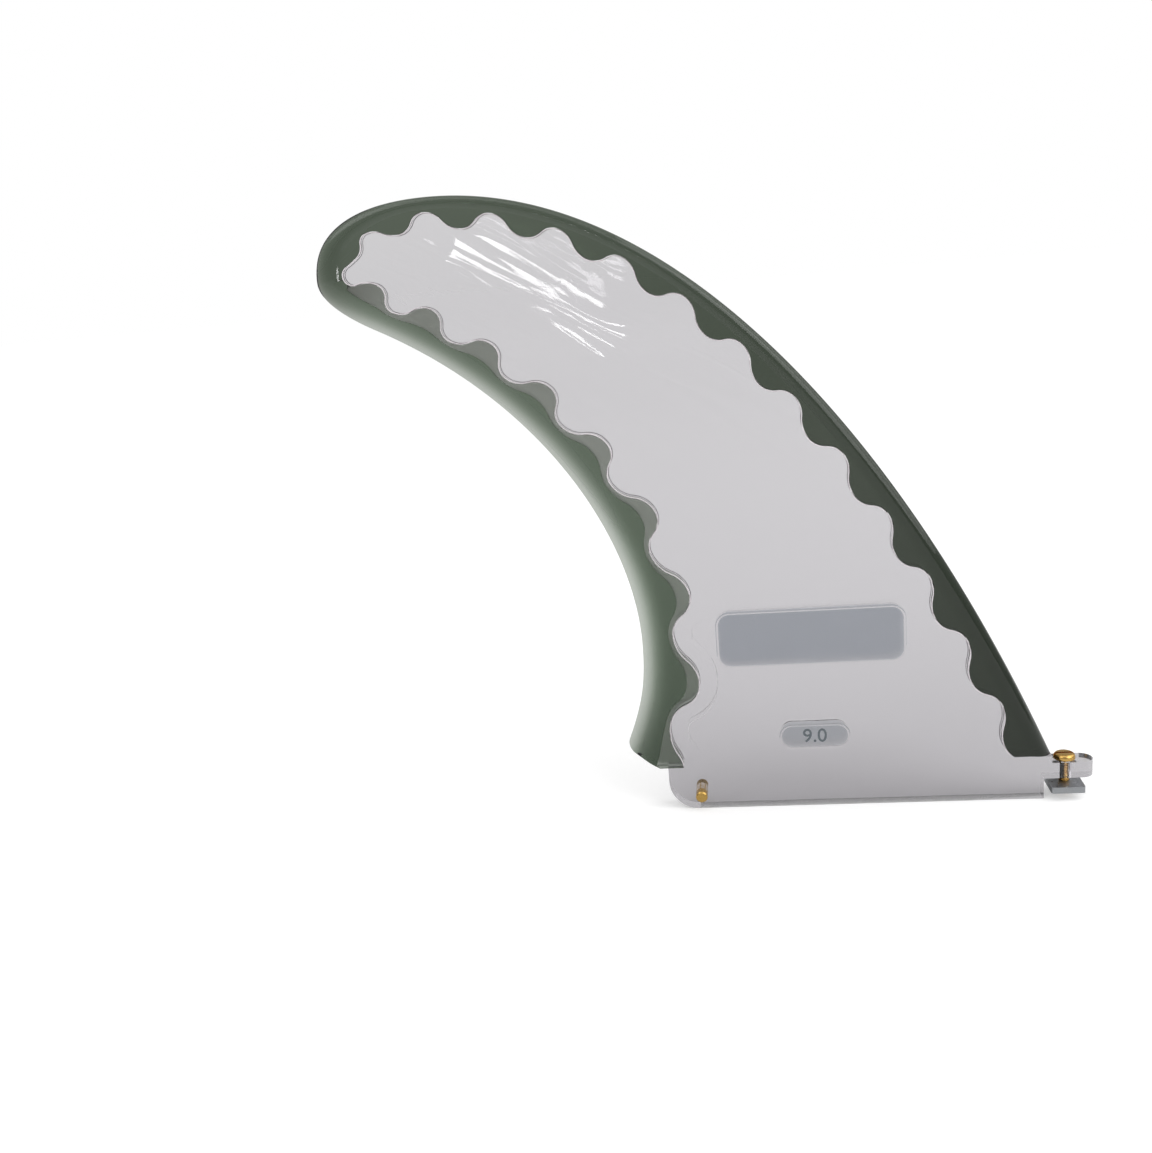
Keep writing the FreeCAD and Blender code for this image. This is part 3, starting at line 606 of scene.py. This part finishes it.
digits_curve = bpy.data.curves.new("size_digits", "FONT")
digits_curve.body = "9.0"
digits_curve.size = 8.0
digits_curve.align_x = "CENTER"
digits_curve.align_y = "CENTER"
digits_curve.extrude = 0.06
digits_curve.offset = 0.05
digits_curve.resolution_u = 4
digits_text = bpy.data.objects.new("size_digits_text", digits_curve)
bpy.context.scene.collection.objects.link(digits_text)
digits_data = bpy.data.meshes.new_from_object(
    digits_text.evaluated_get(bpy.context.evaluated_depsgraph_get()))
bpy.data.objects.remove(digits_text)
size_forward, size_up = SIZE_PLACE[0]
for vertex in digits_data.vertices:
    across, up, proud = vertex.co
    height = size_up / MM + up
    vertex.co = (
        size_forward + across * MM, -(half_thickness(height) + proud) * MM, height * MM)
size_digits = bpy.data.objects.new("size_digits", digits_data)
bpy.context.scene.collection.objects.link(size_digits)


def printed_ink():
    """Slate grey pad-printing ink: matt, a little mottled where it sits on the frosted field."""
    made, tree = new_material("slate_printing_ink")
    place = add(tree, "ShaderNodeTexCoord")
    mottle = add(tree, "ShaderNodeTexNoise", None, {
        "Vector": place.outputs["Object"], "Scale": 3000.0, "Detail": 3.0})
    colour = add(tree, "ShaderNodeMix", {"data_type": "RGBA"}, {
        "Factor": mottle.outputs["Fac"],
        COLOUR_A: linear("#525a60"), COLOUR_B: linear("#6f777c")})
    surface = add(tree, "ShaderNodeBsdfPrincipled", None, {
        "Base Color": colour.outputs[COLOUR_MIXED], "Roughness": 0.55})
    add(tree, "ShaderNodeOutputMaterial", None, {"Surface": surface.outputs["BSDF"]})
    return made


size_digits.data.materials.clear()
size_digits.data.materials.append(printed_ink())
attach(size_digits, "root")

# Witness lines
# The mould's insert leaves a fine raised line on each side of the core, inside its lowest trailing
# scallops, and rounds the core's rim. Both are drawn as thin pale tubes in painted light: a painted
# glint along the raised line and a painted rosy highlight along the rim.

LINE_INSET, LINE_SLACK, LINE_LOW, LINE_HIGH = 7.4, 0.05, 3, 62  # low and high above the board
EDGE_OUT, EDGE_SUNK, EDGE_LOW = 0.3, 0.06, 0.5
LINE_RADIUS, EDGE_RADIUS = 0.00011, 0.00016  # in metres, the others in mm


def witness_points():
    """The lowest trailing scallops moved in by LINE_INSET, where the line stands clear."""
    inner = moved_out(wave, -LINE_INSET)
    away = np.sqrt(((inner[:, None] - wave[None]) ** 2).sum(-1)).min(1)
    above_board = inner[:, 1] - FOOT[1]
    low = (above_board > LINE_LOW) & (above_board < LINE_HIGH) & (inner[:, 0] < 0)
    return inner[(away > LINE_INSET - LINE_SLACK) & low][1:-1]


def path_object(name, points):
    """A curve object of one straight-run spline through (x, y, z) points in metres."""
    data = bpy.data.curves.new(name, "CURVE")
    data.dimensions = "3D"
    spline = data.splines.new("POLY")
    spline.points.add(len(points) - 1)
    for point, place in zip(spline.points, points):
        point.co = (*place, 1.0)
    made = bpy.data.objects.new(name, data)
    bpy.context.scene.collection.objects.link(made)
    return made


def tree_with_inputs(name, inputs):
    """A Geometry Nodes tree with a geometry in and out and the named inputs after it."""
    tree = bpy.data.node_groups.new(name, "GeometryNodeTree")
    tree.interface.new_socket("Geometry", in_out="INPUT", socket_type="NodeSocketGeometry")
    identifiers = {}
    for label, kind in inputs:
        socket = tree.interface.new_socket(label, in_out="INPUT", socket_type=kind)
        identifiers[label] = socket.identifier
    tree.interface.new_socket("Geometry", in_out="OUTPUT", socket_type="NodeSocketGeometry")
    return tree, add(tree, "NodeGroupInput"), identifiers


def finished_by(tree, geometry, material):
    """Close a tree: instances made real, then the material."""
    real = add(tree, "GeometryNodeRealizeInstances", None, {"Geometry": geometry})
    painted = add(tree, "GeometryNodeSetMaterial", None, {
        "Geometry": real.outputs["Geometry"], "Material": material})
    add(tree, "NodeGroupOutput", None, {"Geometry": painted.outputs["Geometry"]})


def run_tree(made, tree, identifiers, values):
    """Give the object what the tree makes of it, as a plain mesh."""
    modifier = made.modifiers.new("nodes", "NODES")
    modifier.node_group = tree
    for label, value in values.items():
        modifier[identifiers[label]] = value
    evaluated = made.evaluated_get(bpy.context.evaluated_depsgraph_get())
    data = bpy.data.meshes.new_from_object(evaluated)
    finished = bpy.data.objects.new(made.name + "_mesh", data)
    bpy.data.objects.remove(made)
    bpy.context.scene.collection.objects.link(finished)
    return finished


bead_tree, bead_inputs, bead_sockets = tree_with_inputs("witness_line_bead", [
    ("Radius", "NodeSocketFloat"), ("Material", "NodeSocketMaterial")])
bead_section = add(bead_tree, "GeometryNodeCurvePrimitiveCircle", None, {
    "Resolution": 6, "Radius": bead_inputs.outputs["Radius"]})
bead_run = add(bead_tree, "GeometryNodeCurveToMesh", None, {
    "Curve": bead_inputs.outputs["Geometry"], "Profile Curve": bead_section.outputs["Curve"],
    "Fill Caps": True})
finished_by(bead_tree, bead_run.outputs["Mesh"], bead_inputs.outputs["Material"])


def painted_witness_glint():
    """A pale, partly clear paint on the fine raised line: a painted glint for the light it catches.
    """
    made, tree = new_material("witness_line_painted_glint")
    place = add(tree, "ShaderNodeTexCoord")
    waver = add(tree, "ShaderNodeTexNoise", None, {"Vector": place.outputs["Object"], "Scale": 60.0})
    clearness = add(tree, "ShaderNodeMapRange", None, {
        "Value": waver.outputs["Fac"], "From Min": 0.45, "From Max": 0.65,
        "To Min": 0.0, "To Max": 0.4})
    surface = add(tree, "ShaderNodeBsdfPrincipled", None, {
        # Painted glint: the near-white colour stands in for the light that the raised line catches.
        "Base Color": linear("#fbf8fb"), "Roughness": 0.3, "IOR": 1.585,
        "Alpha": clearness.outputs["Result"]})
    add(tree, "ShaderNodeOutputMaterial", None, {"Surface": surface.outputs["BSDF"]})
    return made


def painted_edge_highlight():
    """A painted highlight: a thin rosy white line along the core's slightly rounded rim."""
    made, tree = new_material("core_edge_painted_highlight")
    place = add(tree, "ShaderNodeTexCoord")
    waver = add(tree, "ShaderNodeTexNoise", None, {"Vector": place.outputs["Object"], "Scale": 40.0})
    clearness = add(tree, "ShaderNodeMapRange", None, {
        "Value": waver.outputs["Fac"], "From Min": 0.3, "From Max": 0.7,
        "To Min": 0.35, "To Max": 1.0})
    surface = add(tree, "ShaderNodeBsdfPrincipled", None, {
        # Painted highlight: the rosy white colour stands in for the light along the core's rounded
        # rim.
        "Base Color": linear("#fdf4f8"), "Roughness": 0.25, "IOR": 1.585,
        "Alpha": clearness.outputs["Result"]})
    add(tree, "ShaderNodeOutputMaterial", None, {"Surface": surface.outputs["BSDF"]})
    return made


# Painted light: a glint along each witness line and a highlight along each core edge.
PAINTED_WITNESS_GLINT = painted_witness_glint()
PAINTED_EDGE_HIGHLIGHT = painted_edge_highlight()
for side, way in (("near", -1), ("far", 1)):
    line_points = [
        (x * MM, way * half_thickness(z) * MM, z * MM) for x, z in witness_points()]
    line = run_tree(path_object("witness_" + side, line_points), bead_tree, bead_sockets, {
        "Radius": LINE_RADIUS, "Material": PAINTED_WITNESS_GLINT})
    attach(line, "root")
    edge_points = [
        (x * MM, way * (half_thickness(z) - EDGE_SUNK) * MM, z * MM)
        for x, z in moved_out(wave, -EDGE_OUT) if z > FOOT[1] + EDGE_LOW]
    edge = run_tree(path_object("core_edge_" + side, edge_points), bead_tree, bead_sockets, {
        "Radius": EDGE_RADIUS, "Material": PAINTED_EDGE_HIGHLIGHT})
    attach(edge, "root")

# Cross pin
# A turned brass pin across the tab's rear, whose ends stand out on both sides. It keeps its packed
# shape and gets its metal here.


def bare_metal(name, colour, roughness, grain):
    """Bare metal with fine tool marks, duller where it has been handled."""
    made, tree = new_material(name)
    place = add(tree, "ShaderNodeTexCoord")
    marks = add(tree, "ShaderNodeTexNoise", None, {
        "Vector": place.outputs["Object"], "Scale": grain, "Detail": 4.0})
    dulling = add(tree, "ShaderNodeMapRange", None, {
        "Value": marks.outputs["Fac"], "From Min": 0.3, "From Max": 0.7,
        "To Min": roughness * 0.7, "To Max": roughness * 1.5})
    relief = add(tree, "ShaderNodeBump", None, {
        "Height": marks.outputs["Fac"], "Strength": 0.15, "Distance": 0.00005})
    surface = add(tree, "ShaderNodeBsdfPrincipled", None, {
        "Base Color": linear(colour), "Metallic": 1.0,
        "Roughness": dulling.outputs["Result"], "Normal": relief.outputs["Normal"]})
    add(tree, "ShaderNodeOutputMaterial", None, {"Surface": surface.outputs["BSDF"]})
    return made


finish_node("cross_pin", bare_metal("turned_brass", "#c9a45c", 0.28, 900.0))

# Screw plate
# A small pressed steel plate under the tongue, which the screw draws up inside the fin box. It
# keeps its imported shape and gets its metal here.

finish_node("screw_plate", bare_metal("pressed_steel", "#a8abae", 0.35, 700.0))

# Fin screw
# A bright brass slotted screw down through the tongue. The head is turned and domed, its slot is
# sawn, and the thread is rolled on the shank as one spiral ridge.

SCREW_AXIS = (80.6, 0.0)
SCREW_END, HEAD_SEAT, HEAD_HEIGHT = 1.5, 15.0, 2.4
HEAD_RADIUS, HEAD_ROUND = 4.1, 1.5
END_INSET, END_RISE, SEAT_BEVEL = 0.35, 0.4, 0.2
SLOT_DEPTH, SLOT_HALF_WIDTH, SAW_REACH, SAW_TOP = 1.1, 0.6, 6, 20
ROOT, CREST, THREAD_PITCH, THREAD_TURNS, THREAD_START = 1.72, 2.085, 0.8, 15, 0.5
BRIGHT_BRASS = bare_metal("bright_brass", "#d9b066", 0.2, 1200.0)


def turned(name, profile, steps=48):
    """A solid turned about the screw's axis, from (radius, height) points in mm.

    The first and the last are on the axis.
    """
    angles = np.linspace(0, 2 * math.pi, steps, endpoint=False)
    vertices = [
        (SCREW_AXIS[0] + radius * math.cos(angle), height, SCREW_AXIS[1] + radius * math.sin(angle))
        for radius, height in profile for angle in angles]
    rings = len(profile)
    faces = [
        (r * steps + s, r * steps + (s + 1) % steps,
         (r + 1) * steps + (s + 1) % steps, (r + 1) * steps + s)
        for r in range(rings - 1) for s in range(steps)]
    return mesh_object(name, vertices, faces)


dome = [
    (HEAD_RADIUS - HEAD_ROUND * (1 - math.cos(turn)),
     HEAD_SEAT + HEAD_HEIGHT - HEAD_ROUND * (1 - math.sin(turn)))
    for turn in np.linspace(0, math.pi / 2, 9)]
shank = turned("screw_body", [
    (0, SCREW_END), (ROOT - END_INSET, SCREW_END), (ROOT, SCREW_END + END_RISE),
    (ROOT, HEAD_SEAT), (HEAD_RADIUS - SEAT_BEVEL, HEAD_SEAT),
    (HEAD_RADIUS, HEAD_SEAT + SEAT_BEVEL)]
    + dome + [(0, HEAD_SEAT + HEAD_HEIGHT)])
slot_floor = HEAD_SEAT + HEAD_HEIGHT - SLOT_DEPTH
slot_cutter = prism("slot_cutter", [
    (SCREW_AXIS[0] - SAW_REACH, slot_floor), (SCREW_AXIS[0] + SAW_REACH, slot_floor),
    (SCREW_AXIS[0] + SAW_REACH, SAW_TOP), (SCREW_AXIS[0] - SAW_REACH, SAW_TOP)],
    SLOT_HALF_WIDTH)
slotting = shank.modifiers.new("slot", "BOOLEAN")
slotting.operation = "DIFFERENCE"
slotting.solver = "EXACT"
slotting.object = slot_cutter
applied(shank)
bpy.data.objects.remove(slot_cutter)
shank.data.shade_smooth()
shank.data.set_sharp_from_angle(angle=math.radians(30))
shank.data.materials.clear()
shank.data.materials.append(BRIGHT_BRASS)

thread_tree, thread_inputs, thread_sockets = tree_with_inputs("rolled_thread", [
    ("Root radius", "NodeSocketFloat"), ("Ridge height", "NodeSocketFloat"),
    ("Turns", "NodeSocketFloat"), ("Length", "NodeSocketFloat"), ("Material", "NodeSocketMaterial")])
helix = add(thread_tree, "GeometryNodeCurveSpiral", None, {
    "Resolution": 28, "Rotations": thread_inputs.outputs["Turns"],
    "Start Radius": thread_inputs.outputs["Root radius"],
    "End Radius": thread_inputs.outputs["Root radius"],
    "Height": thread_inputs.outputs["Length"]})
ridge = add(thread_tree, "GeometryNodeCurvePrimitiveCircle", None, {
    "Resolution": 4, "Radius": thread_inputs.outputs["Ridge height"]})
rolled = add(thread_tree, "GeometryNodeCurveToMesh", None, {
    "Curve": helix.outputs["Curve"], "Profile Curve": ridge.outputs["Curve"], "Fill Caps": True})
set_down = add(thread_tree, "GeometryNodeTransform", None, {
    "Geometry": rolled.outputs["Mesh"],
    "Translation": (SCREW_AXIS[0] * MM, SCREW_AXIS[1] * MM, (SCREW_END + THREAD_START) * MM)})
finished_by(thread_tree, set_down.outputs["Geometry"], thread_inputs.outputs["Material"])
thread = run_tree(
    path_object("screw_thread", [(0, 0, 0), (0, 0, 0.001)]), thread_tree, thread_sockets, {
        "Root radius": ROOT * MM, "Ridge height": (CREST - ROOT) * MM,
        "Turns": float(THREAD_TURNS), "Length": THREAD_TURNS * THREAD_PITCH * MM,
        "Material": BRIGHT_BRASS})
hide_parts("fin_screw")
for piece in (shank, thread):
    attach(piece, "root")

# Floor and light
# A pale matt floor and an even white surround. Four large soft lamps stand on the right, on the
# left and above. A narrow one draws the streaks of light on the blade near its tip.

FLOOR_HALF = 9
LIFT_CENTRE = (-0.3, -0.3, 0)

floor_data = bpy.data.meshes.new("floor")
floor_data.from_pydata([
    (-FLOOR_HALF, -FLOOR_HALF, 0), (FLOOR_HALF, -FLOOR_HALF, 0),
    (FLOOR_HALF, FLOOR_HALF, 0), (-FLOOR_HALF, FLOOR_HALF, 0)], [], [(0, 1, 2, 3)])
floor = bpy.data.objects.new("floor", floor_data)
bpy.context.scene.collection.objects.link(floor)


def seen_directly(tree, otherwise, in_gloss, strength):
    """A strength for what the camera sees, straight or through clear plastic, and in gloss."""
    rays = add(tree, "ShaderNodeLightPath")
    glossy = add(tree, "ShaderNodeMapRange", None, {
        "Value": rays.outputs["Is Glossy Ray"], "To Min": otherwise, "To Max": in_gloss})
    seen = add(tree, "ShaderNodeMath", {"operation": "MAXIMUM"}, {
        0: rays.outputs["Is Camera Ray"], 1: rays.outputs["Is Transmission Ray"]})
    return add(tree, "ShaderNodeMix", {"data_type": "FLOAT"}, {
        "Factor": seen.outputs["Value"], "A": glossy.outputs["Result"], "B": strength,
    }).outputs["Result"]


def matt_floor():
    """Matt white: lifted to plain white where the camera sees it, and still darker in shadow."""
    made, tree = new_material("matt_white_floor")
    place = add(tree, "ShaderNodeTexCoord").outputs["Object"]
    away = add(tree, "ShaderNodeVectorMath", {"operation": "DISTANCE"}, {
        0: place, 1: LIFT_CENTRE})
    lift_strength = add(tree, "ShaderNodeMapRange", {"interpolation_type": "SMOOTHSTEP"}, {
        "Value": away.outputs["Value"], "From Min": 0.0, "From Max": 3.2,
        "To Min": 0.38, "To Max": 0.57})
    surface = add(tree, "ShaderNodeBsdfDiffuse", None, {"Color": linear("#e6e6e6")})
    lift = add(tree, "ShaderNodeEmission", None, {
        "Color": linear("#ffffff"),
        "Strength": seen_directly(
            tree, otherwise=0.0, in_gloss=0.0, strength=lift_strength.outputs["Result"])})
    both = add(tree, "ShaderNodeAddShader", None, {
        0: surface.outputs["BSDF"], 1: lift.outputs["Emission"]})
    add(tree, "ShaderNodeOutputMaterial", None, {"Surface": both.outputs["Shader"]})
    return made


floor_data.materials.append(matt_floor())


def soft_lamp(name, place, aim, size, power, roll=0.0):
    """A rectangular lamp at a place, aimed at a point and rolled about that line in degrees."""
    data = bpy.data.lights.new(name, "AREA")
    data.shape = "RECTANGLE"
    data.size, data.size_y = size
    data.energy = power
    lamp = bpy.data.objects.new(name, data)
    bpy.context.scene.collection.objects.link(lamp)
    direction = Vector(aim) - Vector(place)
    turned_to = direction.to_track_quat("-Z", "Y").to_matrix().to_4x4()
    rolled_by = Matrix.Rotation(math.radians(roll), 4, "Z")
    lamp.matrix_world = Matrix.Translation(place) @ turned_to @ rolled_by


soft_lamp("key_lamp", (1.0, -0.85, 1.05), (0, 0, 0.1), size=(1.2, 1.4), power=9.0)
soft_lamp("side_lamp", (1.5, 0.1, 1.4), (0, 0, 0.12), size=(2.0, 2.0), power=11.0)
soft_lamp("fill_lamp", (-0.9, -0.8, 1.2), (0, 0, 0.1), size=(0.8, 0.8), power=3.0)
soft_lamp("top_lamp", (-0.15, -0.3, 1.9), (-0.1, 0, 0.2), size=(1.6, 1.0), power=4.0)
soft_lamp(
    "face_lamp", (-0.34, -1.5, 0.212), (-0.1, 0, 0.2), size=(0.3, 0.016), power=0.14, roll=-30)

world = bpy.data.worlds.new("studio")
bpy.context.scene.world = world
world.use_nodes = True
world.node_tree.nodes.clear()
surround = add(world.node_tree, "ShaderNodeBackground", None, {
    "Color": (1.0, 1.0, 1.0, 1.0),
    "Strength": seen_directly(world.node_tree, otherwise=0.55, in_gloss=0.4, strength=1.0)})
add(world.node_tree, "ShaderNodeOutputWorld", None, {"Surface": surround.outputs["Background"]})

bpy.context.scene.view_settings.view_transform = "Standard"
